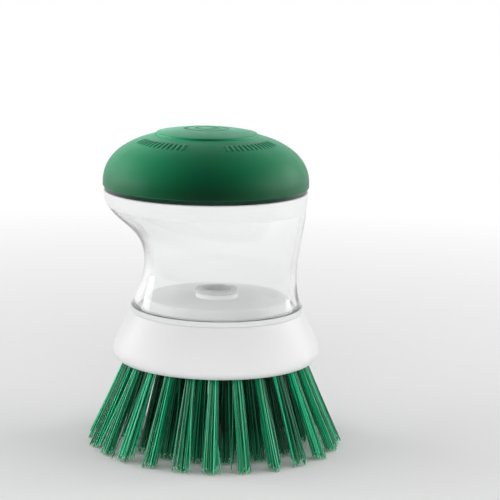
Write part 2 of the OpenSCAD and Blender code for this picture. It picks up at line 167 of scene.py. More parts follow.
class BrushColours(bpy.types.PropertyGroup):
    """Colours of the brush"""

    rubber: colour("Rubber", "The rubber top", (0.0004, 0.125, 0.05, 1))
    # Painted shade: the darker colour the rubber turns to towards its lower edge
    rubber_painted_shade: colour("Rubber foot", "The rubber near its lower edge", (0.0002, 0.035, 0.012, 1))
    ring: colour("Threaded ring", "The ring under the rubber", (0.001, 0.022, 0.013, 1))
    white: colour("White plastic", "The skirt and the block", (0.86, 0.865, 0.86, 1))
    clear: colour("Clear plastic", "The reservoir", (0.992, 0.996, 0.996, 1))
    frosted: colour("Frosted plastic", "The reservoir's matt seats", (0.92, 0.925, 0.925, 1))
    frosted_foot: colour("Frosted foot", "The matt seat in the skirt", (0.8, 0.81, 0.81, 1))
    filament: colour("Filament", "The lighter filaments", (0.01, 0.82, 0.38, 1))
    filament_dark: colour("Dark filament", "The darker filaments", (0.001, 0.28, 0.115, 1))
    # Painted shade: the darkest filaments, and the shaded copy for the inner tufts
    filament_painted_shade: colour("Deep filament", "The filaments far inside", (0.0003, 0.03, 0.012, 1))
    cut_end: colour("Cut end", "The filaments' cut ends", (0.25, 0.6, 0.38, 1))
    floor: colour("Floor plastic", "The reservoir's floor", (0.95, 0.955, 0.955, 1))
    retainer: colour("Retainer plastic", "The ring that holds the valve", (0.7, 0.71, 0.71, 1))
    silicone: colour("Silicone", "The valve", (0.7, 0.71, 0.7, 1))
    seal: colour("Seal", "The gasket and the floor's seal", (0.7, 0.71, 0.7, 1))


class StageSettings(bpy.types.PropertyGroup):
    """Camera, floor and light"""

    distance: length("Camera distance", "From the middle of the view", 720 * MM)
    elevation: angle("Elevation", "Height of the camera as an angle", 10.5)
    roll: angle("Roll", "Turn of the picture", 1.14)
    lens: FloatProperty(
        name="Lens", description="Focal length in millimetres", default=147.7,
        subtype="DISTANCE_CAMERA",
    )
    middle: FloatVectorProperty(
        name="Middle", description="The point in the middle of the view",
        default=(11.4 * MM, 0, 69.1 * MM), subtype="XYZ", unit="LENGTH",
    )
    room_front: share("Room in front", "Brightness of the room on the camera's side", 0.12)
    room_back: share("Room behind", "Brightness of the room behind the brush", 0.4)
    mirrored_front: share(
        "Mirrored room", "How bright the camera's side looks in glossy surfaces", 0.03
    )
    front: watts("Front lamp", "Power of the lamp in front", 6.0)
    key: watts("Side lamps", "Power of each side lamp", 3.0)
    gloss_left: watts("Left gloss", "Power of the left lamp's reflection", 4.0)
    gloss_right: watts("Right gloss", "Power of the right lamp's reflection", 3.0)
    edge_left: watts("Left edge", "Power of the lamp on the rubber's left", 34.0)
    edge_right: watts("Right edge", "Power of the lamp on the rubber's right", 23.0)
    rim: watts("Rear lamps", "Power of each lamp behind the sides", 2.0)
    top: watts("Top lamp", "Power of the top lamp", 1.8)
    floor: colour("Floor", "The pale floor", (0.9, 0.9, 0.9, 1))


GROUPS = {
    "brush_reservoir": ReservoirSizes,
    "brush_cap": CapSizes,
    "brush_skirt": SkirtSizes,
    "brush_bristles": BristleSizes,
    "brush_colours": BrushColours,
    "brush_stage": StageSettings,
}


# Meshes


def ring_of(centre_x, radius, z, sides):
    """A level circle of points, anticlockwise seen from above"""
    turn = 2 * math.pi / sides
    return [
        (centre_x + radius * math.cos(turn * i), radius * math.sin(turn * i), z)
        for i in range(sides)
    ]


def loft(rings, closed=False):
    """Points and faces of a skin through rings of points"""
    sides = len(rings[0])
    verts = [point for ring in rings for point in ring]
    faces = []
    for j in range(len(rings) if closed else len(rings) - 1):
        low, high = j * sides, (j + 1) % len(rings) * sides
        for i in range(sides):
            k = (i + 1) % sides
            faces.append((low + i, low + k, high + k, high + i))
    return verts, faces


def arc(centre, radius, start, end, steps):
    """Points of a round from one angle to another, as (reach, height)"""
    turns = [math.radians(start + (end - start) * i / steps) for i in range(steps + 1)]
    return [(centre[0] + radius * math.cos(a), centre[1] + radius * math.sin(a)) for a in turns]


def cubic(p, t):
    """A point of the cubic curve with ends p[0], p[3] and handles p[1], p[2]"""
    s = 1 - t
    weights = (s**3, 3 * t * s * s, 3 * t * t * s, t**3)
    return tuple(sum(w * q[k] for w, q in zip(weights, p)) for k in (0, 1))


def inset(p, t, depth):
    """A point of the curve, set in from it by depth on the side of the axis"""
    s = 1 - t
    way = Vector(
        [
            3 * s * s * (p[1][k] - p[0][k])
            + 6 * t * s * (p[2][k] - p[1][k])
            + 3 * t * t * (p[3][k] - p[2][k])
            for k in (0, 1)
        ]
    ).normalized()
    x, z = cubic(p, t)
    return x - way.y * depth, z + way.x * depth


def add_piece(name, verts, faces, materials, sharp=35, indices=None):
    """A smooth shaded mesh object whose edges stay crisp where they bend more than sharp degrees"""
    mesh = bpy.data.meshes.new(name)
    mesh.from_pydata(verts, [], faces)
    for material in materials:
        mesh.materials.append(bpy.data.materials[material])
    if indices is not None:
        mesh.polygons.foreach_set("material_index", indices)
    bm = bmesh.new()
    bm.from_mesh(mesh)
    bmesh.ops.remove_doubles(bm, verts=bm.verts, dist=1e-7)
    limit = math.radians(sharp)
    for face in bm.faces:
        face.smooth = True
    for edge in bm.edges:
        edge.smooth = edge.calc_face_angle(0) < limit
    bm.to_mesh(mesh)
    bm.free()
    piece = bpy.data.objects.new(name, mesh)
    bpy.context.scene.collection.objects.link(piece)
    return piece


# Materials


def shader_group(name, inputs, outputs):
    """An empty shader node group with named sockets"""
    tree = bpy.data.node_groups.new(name, "ShaderNodeTree")
    for label, kind, default in inputs:
        socket = tree.interface.new_socket(label, in_out="INPUT", socket_type=kind)
        socket.default_value = default
    for label, kind in outputs:
        tree.interface.new_socket(label, in_out="OUTPUT", socket_type=kind)
    return tree, tree.nodes.new("NodeGroupInput"), tree.nodes.new("NodeGroupOutput")


def add_node(tree, kind, settings=None, **inputs):
    """A node with its settings, and its inputs set or linked by name, or by number as in i0"""
    node = tree.nodes.new(kind)
    for key, value in (settings or {}).items():
        setattr(node, key, value)
    for key, value in inputs.items():
        socket = node.inputs[int(key[1:]) if key[1:].isdigit() else key.replace("_", " ")]
        if isinstance(value, bpy.types.NodeSocket):
            tree.links.new(value, socket)
        else:
            socket.default_value = value
    return node


def object_place(tree):
    return add_node(tree, "ShaderNodeTexCoord").outputs["Object"]


def object_height(tree):
    return add_node(tree, "ShaderNodeSeparateXYZ", Vector=object_place(tree)).outputs["Z"]


def noise(tree, place, scale, detail=2.0, roughness=0.5):
    return add_node(
        tree, "ShaderNodeTexNoise", Vector=place, Scale=scale, Detail=detail, Roughness=roughness
    ).outputs["Fac"]


def spread(tree, value, low, high, to_low, to_high):
    """A value taken from one range to another, and kept in it"""
    return add_node(
        tree, "ShaderNodeMapRange", Value=value, i1=low, i2=high, i3=to_low, i4=to_high
    ).outputs["Result"]


def tint(tree, factor, first, second, blend="MIX"):
    """Two colours mixed"""
    return add_node(
        tree, "ShaderNodeMix", {"data_type": "RGBA", "blend_type": blend},
        i0=factor, i6=first, i7=second,
    ).outputs[2]


def math_node(tree, operation, first, second):
    node = add_node(tree, "ShaderNodeMath", {"operation": operation}, i0=first, i1=second)
    return node.outputs[0]


COLOUR, FLOAT, VECTOR = "NodeSocketColor", "NodeSocketFloat", "NodeSocketVector"


def make_moulded_group():
    """The fine grain, slow colour drift and uneven gloss of a moulded surface"""
    tree, start, end = shader_group(
        "Moulded Surface",
        [
            ("Color", COLOUR, (0.5, 0.5, 0.5, 1)),
            ("Drift", FLOAT, 0.05),
            ("Roughness", FLOAT, 0.4),
            ("Gloss Spread", FLOAT, 0.1),
            ("Grain Size", FLOAT, 1500.0),
            ("Grain Depth", FLOAT, 0.1),
            ("Wave Depth", FLOAT, 0.05),
        ],
        [("Color", COLOUR), ("Roughness", FLOAT), ("Normal", VECTOR)],
    )
    value = start.outputs
    place = object_place(tree)
    patches = noise(tree, place, 55.0, 3.0)
    smears = noise(tree, place, 140.0, 4.0, 0.6)
    darker = tint(tree, 1.0, value["Color"], (0.55, 0.55, 0.55, 1), "MULTIPLY")
    drift = math_node(tree, "MULTIPLY", spread(tree, patches, 0.3, 0.7, 0, 1), value["Drift"])
    gloss = math_node(
        tree, "MULTIPLY", spread(tree, smears, 0.3, 0.7, -0.5, 0.5), value["Gloss Spread"]
    )
    grain = noise(tree, place, value["Grain Size"])
    fine = add_node(
        tree, "ShaderNodeBump", Strength=value["Grain Depth"], Distance=0.0001, Height=grain
    ).outputs["Normal"]
    waves = add_node(
        tree, "ShaderNodeBump", Strength=value["Wave Depth"], Distance=0.002,
        Height=noise(tree, place, 38.0, 1.0), Normal=fine,
    ).outputs["Normal"]
    tree.links.new(tint(tree, drift, value["Color"], darker), end.inputs["Color"])
    tree.links.new(math_node(tree, "ADD", value["Roughness"], gloss), end.inputs["Roughness"])
    tree.links.new(waves, end.inputs["Normal"])


def make_wear_and_painted_light_group():
    """Lighter edges, as rubbed wear and painted highlight, and painted shade that darkens the
    hollow corners
    """
    tree, start, end = shader_group(
        "Wear",
        [
            ("Color", COLOUR, (0.5, 0.5, 0.5, 1)),
            ("Edge Color", COLOUR, (0.8, 0.8, 0.8, 1)),
            # The edge colour is rubbed wear and painted highlight; the corner colour is painted
            # shade
            ("Edge Wear", FLOAT, 0.2),
            ("Corner Color", COLOUR, (0.1, 0.1, 0.1, 1)),
            ("Corner Grime", FLOAT, 0.2),
        ],
        [("Color", COLOUR)],
    )
    value = start.outputs
    place = object_place(tree)
    bend = add_node(tree, "ShaderNodeNewGeometry").outputs["Pointiness"]
    broken = spread(tree, noise(tree, place, 420.0, 4.0, 0.65), 0.35, 0.65, 0.2, 1)
    # Painted highlight, also rubbed wear: sharp outer edges turn towards the edge colour
    edges = math_node(tree, "MULTIPLY", spread(tree, bend, 0.51, 0.58, 0, 1), broken)
    # Painted shade: hollow corners turn towards the corner colour
    corners = math_node(tree, "MULTIPLY", spread(tree, bend, 0.49, 0.42, 0, 1), broken)
    edges = math_node(tree, "MULTIPLY", edges, value["Edge Wear"])
    corners = math_node(tree, "MULTIPLY", corners, value["Corner Grime"])
    worn_and_painted_light = tint(tree, edges, value["Color"], value["Edge Color"])
    tree.links.new(tint(tree, corners, worn_and_painted_light, value["Corner Color"]), end.inputs["Color"])


def place_group(tree, name, **inputs):
    """A node group with its values"""
    group = bpy.data.node_groups[name]
    return add_node(tree, "ShaderNodeGroup", {"node_tree": group}, **inputs).outputs


def moulded_surface(tree, colour, roughness, drift, gloss, size, depth, wave):
    """The group of the grain, the drift and the gloss"""
    return place_group(
        tree, "Moulded Surface", Color=colour, Roughness=roughness, Drift=drift,
        Gloss_Spread=gloss, Grain_Size=size, Grain_Depth=depth, Wave_Depth=wave,
    )


def new_material(name, shade):
    """A material with a Principled BSDF, and the colour it has in the solid view"""
    material = bpy.data.materials.new(name)
    material.use_nodes = True
    material.diffuse_color = shade
    tree = material.node_tree
    return tree, tree.nodes["Principled BSDF"]


def connect(tree, shader, colour, surface):
    tree.links.new(colour, shader.inputs["Base Color"])
    for name in ("Roughness", "Normal"):
        tree.links.new(surface[name], shader.inputs[name])


def mix_output(tree, output, factor, first, second):
    """Two shaders mixed, as the material's or the world's surface"""
    mixed = add_node(tree, "ShaderNodeMixShader", i0=factor, i1=first, i2=second).outputs[0]
    tree.links.new(mixed, tree.nodes[output].inputs["Surface"])


def footed(tree, shade, foot):
    """The shade, or with foot given as (height, height, colour), that colour turning into it"""
    if foot is None:
        return shade
    return tint(tree, spread(tree, object_height(tree), foot[0], foot[1], 0, 1), foot[2], shade)


def moulded_material(name, shade, grain, edge, corner, foot=None, **plain):
    """A moulded plastic or rubber: grain and drift, then wear with painted highlight and painted
    shade, on a Principled BSDF

    grain is (roughness, drift, gloss spread, grain size, grain depth, wave depth), and edge and
    corner are each (colour, amount).
    """
    tree, shader = new_material(name, shade)
    surface = moulded_surface(tree, footed(tree, shade, foot), *grain)
    # Wear with painted highlight on the edges and painted shade in the corners
    worn_and_painted_light = place_group(
        tree, "Wear", Color=surface["Color"], Edge_Color=edge[0], Edge_Wear=edge[1],
        Corner_Color=corner[0], Corner_Grime=corner[1],
    )
    connect(tree, shader, worn_and_painted_light["Color"], surface)
    for key, value in plain.items():
        shader.inputs[key.replace("_", " ")].default_value = value


def matt_material(name, shade, grain, foot=None):
    """A matt surface without wear, such as the reservoir's seats and the filaments' cut ends"""
    tree, shader = new_material(name, shade)
    surface = moulded_surface(tree, footed(tree, shade, foot), *grain)
    connect(tree, shader, surface["Color"], surface)


def clear_material(colours):
    """Clear plastic that lets the lamps' light through to what is inside"""
    tree, shader = new_material("Clear plastic", colours.clear)
    height = object_height(tree)
    wave = spread(tree, height, 58 * MM, 51 * MM, 0.06, 0.7)
    surface = moulded_surface(tree, colours.clear, 0.035, 0.0, 0.03, 700.0, 0.004, wave)
    shader.inputs["Base Color"].default_value = colours.clear
    shader.inputs["Transmission Weight"].default_value = 1.0
    shader.inputs["IOR"].default_value = 1.49
    hazy_top = spread(tree, height, 85.5 * MM, 88.6 * MM, 0, 0.5)
    hazy_foot = spread(tree, height, 52 * MM, 49 * MM, 0, 0.15)
    hazy = math_node(tree, "ADD", hazy_top, hazy_foot)
    tree.links.new(math_node(tree, "ADD", surface["Roughness"], hazy), shader.inputs["Roughness"])
    tree.links.new(surface["Normal"], shader.inputs["Normal"])
    lamp_ray = add_node(tree, "ShaderNodeLightPath").outputs["Is Shadow Ray"]
    through = add_node(tree, "ShaderNodeBsdfTransparent", Color=(0.965, 0.97, 0.97, 1)).outputs[0]
    mix_output(tree, "Material Output", lamp_ray, shader.outputs[0], through)


def filament_material(name, light, middle, dark):
    """Drawn nylon: each filament has its own tone, the darkest standing in as painted shade, a long
    soft highlight, and painted light towards the tips
    """
    tree, shader = new_material(name, light)
    each = add_node(tree, "ShaderNodeNewGeometry").outputs["Random Per Island"]
    ramp = tree.nodes.new("ShaderNodeValToRGB")
    ramp.color_ramp.elements[0].color = dark
    ramp.color_ramp.elements[1].color = light
    ramp.color_ramp.elements.new(0.55).color = middle
    tree.links.new(each, ramp.inputs[0])
    # Painted light: the filaments turn lighter over the last 12 mm towards their tips, as if lit
    # through the nylon
    tips = spread(tree, object_height(tree), 12 * MM, 0.0, 0, 0.35)
    shade = tint(tree, tips, ramp.outputs[0], (0.05, 0.45, 0.21, 1))
    surface = moulded_surface(tree, shade, 0.2, 0.3, 0.1, 2500.0, 0.05, 0.0)
    connect(tree, shader, surface["Color"], surface)
    shader.inputs["Specular IOR Level"].default_value = 0.6


def make_materials():
    """Every material of the brush, by name"""
    colours = bpy.context.scene.brush_colours
    make_moulded_group()
    make_wear_and_painted_light_group()
    moulded_material(
        "Rubber", colours.rubber, (0.45, 0.12, 0.12, 2600.0, 0.22, 0.03),
        # Painted highlight: pale green rims on the rubber's edges and ribs; painted shade in its
        # hollows
        ((0.08, 0.36, 0.22, 1), 0.2), ((0.0, 0.03, 0.015, 1), 0.2),
        # Painted shade: the rubber darkens from 110 mm down to 94 mm, towards its lower edge
        foot=(94 * MM, 110 * MM, colours.rubber_painted_shade),
        Specular_IOR_Level=0.25, Sheen_Weight=0.14, Sheen_Roughness=0.4,
        Sheen_Tint=(0.35, 1.0, 0.7, 1),
    )
    moulded_material(
        "Ring plastic", colours.ring, (0.35, 0.1, 0.1, 1800.0, 0.08, 0.02),
        ((0.01, 0.07, 0.04, 1), 0.3), ((0.0, 0.01, 0.006, 1), 0.4),
    )
    moulded_material(
        "White plastic", colours.white, (0.4, 0.03, 0.08, 1600.0, 0.07, 0.04),
        ((0.95, 0.95, 0.95, 1), 0.3), ((0.55, 0.56, 0.55, 1), 0.25),
        Subsurface_Weight=0.08, Subsurface_Radius=(1, 1, 1), Subsurface_Scale=0.0008,
    )
    for name, shade in (("Floor plastic", colours.floor), ("Retainer plastic", colours.retainer)):
        moulded_material(
            name, shade, (0.45, 0.03, 0.08, 1600.0, 0.07, 0.04),
            ((0.9, 0.9, 0.9, 1), 0.2), ((0.5, 0.51, 0.5, 1), 0.4),
        )
    moulded_material(
        "Silicone", colours.silicone, (0.5, 0.04, 0.1, 1500.0, 0.05, 0.03),
        ((0.9, 0.9, 0.9, 1), 0.2), ((0.5, 0.5, 0.5, 1), 0.3),
        Subsurface_Weight=0.3, Subsurface_Radius=(1, 1, 1), Subsurface_Scale=0.001,
    )
    moulded_material(
        "Seal rubber", colours.seal, (0.6, 0.2, 0.15, 2200.0, 0.2, 0.02),
        ((0.8, 0.8, 0.8, 1), 0.3), ((0.45, 0.45, 0.43, 1), 0.3),
    )
    clear_material(colours)
    matt_material(
        "Frosted plastic", colours.frosted, (0.6, 0.05, 0.1, 2400.0, 0.2, 0.02),
        foot=(55 * MM, 80 * MM, colours.frosted_foot),
    )
    # Painted shade: the darkest outer filaments take the deep colour, and the inner rings get the
    # darker Shaded filament copy
    filament_material("Filament", colours.filament, colours.filament_dark, colours.filament_painted_shade)
    filament_material(
        "Shaded filament", colours.filament_dark, colours.filament_painted_shade, colours.filament_painted_shade
    )
    matt_material("Cut end", colours.cut_end, (0.6, 0.4, 0.1, 6000.0, 0.3, 0.0))


# Pieces


class BRUSH_OT_finishes(bpy.types.Operator):
    """Makes the materials and puts them on the nodes of the frame that stay"""

    bl_idname = "palm_brush.finishes"
    bl_label = "Finishes"

    # Materials with wear, painted highlight and painted shade, for the frame's nodes that stay
    worn_and_painted_light = (
        ("White plastic", "white_plastic", ("tuft_block",)),
        ("Floor plastic", "white_plastic", ("floor_plate",)),
        ("Retainer plastic", "white_plastic", ("valve_retainer",)),
        ("Silicone", "silicone", ("valve_rim", "valve_sleeve", "valve_head")),
        ("Seal rubber", "seal_rubber", ("floor_seal", "cap_gasket")),
        ("Ring plastic", "cap_ring", ("cap_ring",)),
    )

    def execute(self, context):
        make_materials()
        for material, slot, nodes in self.worn_and_painted_light:
            for name in nodes:
                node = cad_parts[name]
                node.data.materials.clear()
                node.data.materials.append(bpy.data.materials[material])
        return {"FINISHED"}


class BRUSH_OT_reservoir(bpy.types.Operator):
    """Builds the clear reservoir: foot ring, leaning grip, shoulder and threaded neck"""

    bl_idname = "palm_brush.reservoir"
    bl_label = "Clear Reservoir"

    sides = 180
    setback = 0.45 * MM  # from the foot ring to the wall
    shoulder_t = 0.88  # where the inner wall's curve ends under the shoulder

    def side(self, s, waist, waist_h, top_r, handles, tuck=0):
        """The curves of one side, below and above its waist; handles are shares of their heights"""
        foot_top, foot_r = s.collar_z + s.foot_h, s.foot_r - self.setback
        waist_z = foot_top + waist_h
        rise = s.shoulder_z - waist_z
        low = (
            (foot_r, foot_top),
            (foot_r - 1.6 * MM, foot_top + handles[0] * waist_h),
            (waist, waist_z - handles[1] * waist_h),
            (waist, waist_z),
        )
        high = (
            (waist, waist_z),
            (waist, waist_z + handles[2] * rise),
            (top_r - tuck, s.shoulder_z - handles[3] * rise),
            (top_r, s.shoulder_z),
        )
        return low, high

    def tilted(self, finger, palm):
        """The tilted circle that has a finger side point and a palm side point across it"""
        middle = Vector(((palm[0] - finger[0]) / 2, 0, (palm[1] + finger[1]) / 2))
        half = Vector(((palm[0] + finger[0]) / 2, 0, (palm[1] - finger[1]) / 2))
        side = Vector((0, half.length, 0))
        turn = 2 * math.pi / self.sides
        return [
            tuple(middle + half * math.cos(turn * i) + side * math.sin(turn * i))
            for i in range(self.sides)
        ]

    def lined(self, finger, palm, t, wall):
        """The tilted circle of the inner wall, at t on the two curves"""
        return self.tilted(inset(finger, t, wall), inset(palm, t, wall))

    def level(self, centre_x, points):
        return [ring_of(centre_x, r, z, self.sides) for r, z in points]

    def neck(self, s, offset):
        """Rings up the outside of the neck, with two threads that climb 8 mm a turn"""
        lead, run, fade, half = 8 * MM, 144.0, 18.0, 0.9 * MM
        first_z = s.shoulder_z + 2 * MM
        rows = 46
        low, high = s.shoulder_z + 0.3 * MM, s.lip_z - 0.3 * MM
        rings = []
        for j in range(rows + 1):
            z = low + (high - low) * j / rows
            ring = []
            for i in range(self.sides):
                angle = 360 * i / self.sides
                height = 0
                for start in (0, 180):
                    turn = (angle - start) % 360
                    if turn > run:
                        continue
                    away = abs(z - first_z - lead * turn / 360)
                    slope = min(1, max(0, (half - away) / (half / 2)))
                    ends = max(0, min(1, turn / fade, (run - turn) / fade))
                    height = max(height, s.thread_depth * ends * slope)
                r = s.neck_r + height
                a = math.radians(angle)
                ring.append((r * math.cos(a) - offset, r * math.sin(a), z))
            rings.append(ring)
        return rings

    def execute(self, context):
        s = context.scene.brush_reservoir
        offset = context.scene.brush_cap.offset
        finger_low, finger_high = self.side(
            s, s.waist_finger, 15.4 * MM, s.shoulder_r + offset, (0.23, 0.32, 0.59, 0.44)
        )
        palm_low, palm_high = self.side(
            s, s.waist_palm, 12.0 * MM, s.shoulder_r - offset, (0.32, 0.3, 0.2, 0.42), 0.4 * MM
        )
        foot_top = s.collar_z + s.foot_h
        spigot_r, bore_r, spigot_z = 27.85 * MM, 25.65 * MM, s.collar_z - 3.95 * MM
        snap_z, lead_in, soft = s.collar_z - 2.6 * MM, 0.35 * MM, 0.3 * MM
        seat = 0.03 * MM
        low_steps, high_steps = 14, 34

        rings = self.level(
            0,
            [
                (bore_r + 0.1 * MM, spigot_z),
                (spigot_r - lead_in, spigot_z),
                (spigot_r, spigot_z + lead_in),
                (spigot_r, snap_z - 0.7 * MM),
                (spigot_r + 0.3 * MM, snap_z - 0.25 * MM),
                (spigot_r + 0.4 * MM, snap_z),
                (spigot_r + 0.3 * MM, snap_z + 0.25 * MM),
                (spigot_r, snap_z + 0.7 * MM),
                (spigot_r, s.collar_z + seat),
            ]
            + arc((s.foot_r - soft, s.collar_z + seat + soft), soft, -90, 0, 4)
            + arc((s.foot_r - soft, foot_top - soft), soft, 0, 75, 4),
        )
        matt = [(0, 17)]  # first and last ring of each matt seat
        rings += [
            self.tilted(cubic(finger_low, t), cubic(palm_low, t))
            for t in [0.02 + 0.98 * i / low_steps for i in range(low_steps + 1)]
        ]
        rings += [
            self.tilted(cubic(finger_high, t), cubic(palm_high, t))
            for t in [0.98 * i / high_steps for i in range(1, high_steps + 1)]
        ]
        edge = 0.6 * MM
        band = len(rings) - 7
        rings += self.level(
            -offset, arc((s.shoulder_r - edge, s.shoulder_z - edge), edge, 0, 90, 6)
        )
        matt.append((band, len(rings) + 2))
        rings += self.level(
            -offset, arc((s.neck_r + soft, s.shoulder_z + soft), soft, 270, 180, 4)[:-1]
        )
        rings += self.neck(s, offset)
        neck_bore = s.neck_r - s.wall
        under = s.shoulder_z - s.wall
        rings += self.level(
            -offset,
            arc((s.neck_r - soft, s.lip_z - soft), soft, 0, 90, 4)[1:]
            + arc((neck_bore + soft, s.lip_z - soft), soft, 90, 180, 4)
            + arc((neck_bore + soft, under + soft), soft, 180, 270, 4),
        )
        start = ring_of(-offset, 30.8 * MM, under, self.sides)
        corner = ring_of(-offset, s.shoulder_r - s.wall - 0.3 * MM, under, self.sides)
        inner = self.lined(finger_high, palm_high, self.shoulder_t, s.wall)
        corner_steps = 8
        matt.append((len(rings) - 5, len(rings) + corner_steps + 2))
        for j in range(corner_steps):
            t = j / corner_steps
            rings.append(
                [
                    tuple(
                        (1 - t) ** 2 * a + 2 * t * (1 - t) * b + t * t * c
                        for a, b, c in zip(*points)
                    )
                    for points in zip(start, corner, inner)
                ]
            )
        rings += [
            self.lined(finger_high, palm_high, self.shoulder_t * (1 - i / high_steps), s.wall)
            for i in range(high_steps)
        ]
        rings += [
            self.lined(finger_low, palm_low, 1 - 0.9 * i / low_steps, s.wall)
            for i in range(low_steps + 1)
        ]
        ledge_z, ledge_r = foot_top - s.foot_h / 2, s.foot_r - self.setback - s.wall
        ledge = len(rings)
        rings += self.level(
            0,
            arc((ledge_r - soft, ledge_z + soft), soft, 0, -90, 4)
            + arc((bore_r + soft, ledge_z - soft), soft, 90, 180, 4)
            + [(bore_r, spigot_z + 0.1 * MM)],
        )
        matt.append((ledge, len(rings)))
        verts, faces = loft(rings, closed=True)
        indices = [
            int(any(first <= face // self.sides < last for first, last in matt))
            for face in range(len(faces))
        ]
        piece = add_piece(
            "clear_reservoir", verts, faces, ("Clear plastic", "Frosted plastic"),
            40, indices,
        )
        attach(piece, "base")
        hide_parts("reservoir")
        return {"FINISHED"}


class BRUSH_OT_rubber_top(bpy.types.Operator):
    """Builds the rubber top with its raised disc, grip ribs and the disc's rings"""

    bl_idname = "palm_brush.rubber_top"
    bl_label = "Rubber Top"

    sides = 480
    power = 2.35
    rib_in, rib_out = 21.9 * MM, 25.4 * MM
    rib_step, rib_half = 4.5, 1.1
    rib_from, rib_to = 15.75, 74.25
    disc_rings = (3.6 * MM, 7.2 * MM)

    def dome(self, r, reach, rise):
        return rise * (1 - (r / reach) ** self.power) ** (1 / self.power)

    def outline(self, reach, rise, phi):
        """A point of the dome's outline, from the top at 0 to the widest line at a right angle"""
        power = 2 / self.power
        return reach * math.sin(phi) ** power, rise * max(0, math.cos(phi)) ** power

    def window(self, x, low, high, soft):
        """1 between low and high, falling to 0 over soft on each side"""
        t = min(1, max(0, min(x - low, high - x) / soft + 0.5))
        return t * t * (3 - 2 * t)

    def relief(self, r, angle, on_disc, height):
        """How far a rib stands out there or a ring is cut in; angle is in degrees from the front"""
        if on_disc:
            return -0.8 * height * max(
                self.window(r, ring - 0.45 * MM, ring + 0.45 * MM, 0.35 * MM)
                for ring in self.disc_rings
            )
        if not self.rib_in - MM < r < self.rib_out + MM:
            return 0
        turn = min(angle % 360, 360 - angle % 360)
        if not self.rib_from < turn < self.rib_to:
            return 0
        across = abs((turn - self.rib_from) % self.rib_step - self.rib_step / 2)
        return (
            height
            * self.window(r, self.rib_in, self.rib_out, 0.4 * MM)
            * self.window(-across, -self.rib_half, self.rib_half, 0.6)
        )

    def execute(self, context):
        s = context.scene.brush_cap
        sides = self.sides
        disc_edge = 0.45 * MM
        path = []  # (reach, height, part)
        disc_steps = 44
        for j in range(disc_steps + 1):
            r = (s.pad_r - disc_edge) * j / disc_steps
            path.append((r, s.widest_z + self.dome(r, s.radius, s.rise) + s.pad_rise, "disc"))
        edge_z = path[-1][1] - disc_edge
        path += [
            (r, z, "edge") for r, z in arc((s.pad_r - disc_edge, edge_z), disc_edge, 90, 0, 5)[1:]
        ]
        groove_r = s.pad_r + 0.35 * MM
        groove_z = s.widest_z + self.dome(groove_r, s.radius, s.rise)
        path.append((s.pad_r + 0.02 * MM, groove_z + 0.12 * MM, "edge"))
        path.append((s.pad_r + 0.12 * MM, groove_z - 0.06 * MM, "edge"))
        rib_start, rib_end = self.rib_in - 0.65 * MM, self.rib_out + 0.65 * MM
        rib_rows = 22
        reaches = [groove_r + (rib_start - groove_r) * j / 6 for j in range(6)]
        reaches += [rib_start + (rib_end - rib_start) * j / rib_rows for j in range(rib_rows)]
        reaches += [rib_end + 0.5 * MM * j for j in range(9)]
        path += [(r, s.widest_z + self.dome(r, s.radius, s.rise), "dome") for r in reaches]
        side_steps = 22
        phi_0 = math.asin((reaches[-1] / s.radius) ** (self.power / 2))
        for j in range(1, side_steps + 1):
            phi = phi_0 + (math.pi / 2 - phi_0) * j / side_steps
            r, high = self.outline(s.radius, s.rise, phi)
            path.append((r, s.widest_z + high, "side"))
        foot = 0.35 * MM
        ring_r, ring_top, chamfer = 33.2 * MM, RING_TOP, 1.7 * MM
        path += [
            (r, z, "side")
            for r, z in arc((s.radius - foot, s.foot_z + foot), foot, 0, -90, 4)
        ]
        under_r, under_rise = 33.6 * MM, s.rise - 2.2 * MM
        path += [
            (ring_r, s.foot_z, "under"),
            (ring_r, ring_top - chamfer, "under"),
            (ring_r - chamfer, ring_top, "under"),
        ]
        phi_low = math.acos(((ring_top + 0.3 * MM - s.widest_z) / under_rise) ** (self.power / 2))
        under_steps = 26
        for j in range(under_steps + 1):
            phi = phi_low * (1 - j / under_steps)
            r, high = self.outline(under_r, under_rise, phi)
            path.append((r, s.widest_z + high, "under"))
        rings = []
        for r, z, part in path:
            ring = []
            for i in range(sides):
                a = 2 * math.pi * i / sides
                lift = 0
                if part in ("disc", "dome"):
                    lift = self.relief(r, 360 * i / sides + 90, part == "disc", s.rib_h)
                ring.append((r * math.cos(a) - s.offset, r * math.sin(a), z + lift))
            rings.append(ring)
        rings.reverse()
        verts, faces = loft(rings)
        piece = add_piece("rubber_top", verts, faces, ("Rubber",), 50)
        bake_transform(piece)
        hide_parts("rubber_wall", "rubber_web", "rubber_pad")
        return {"FINISHED"}


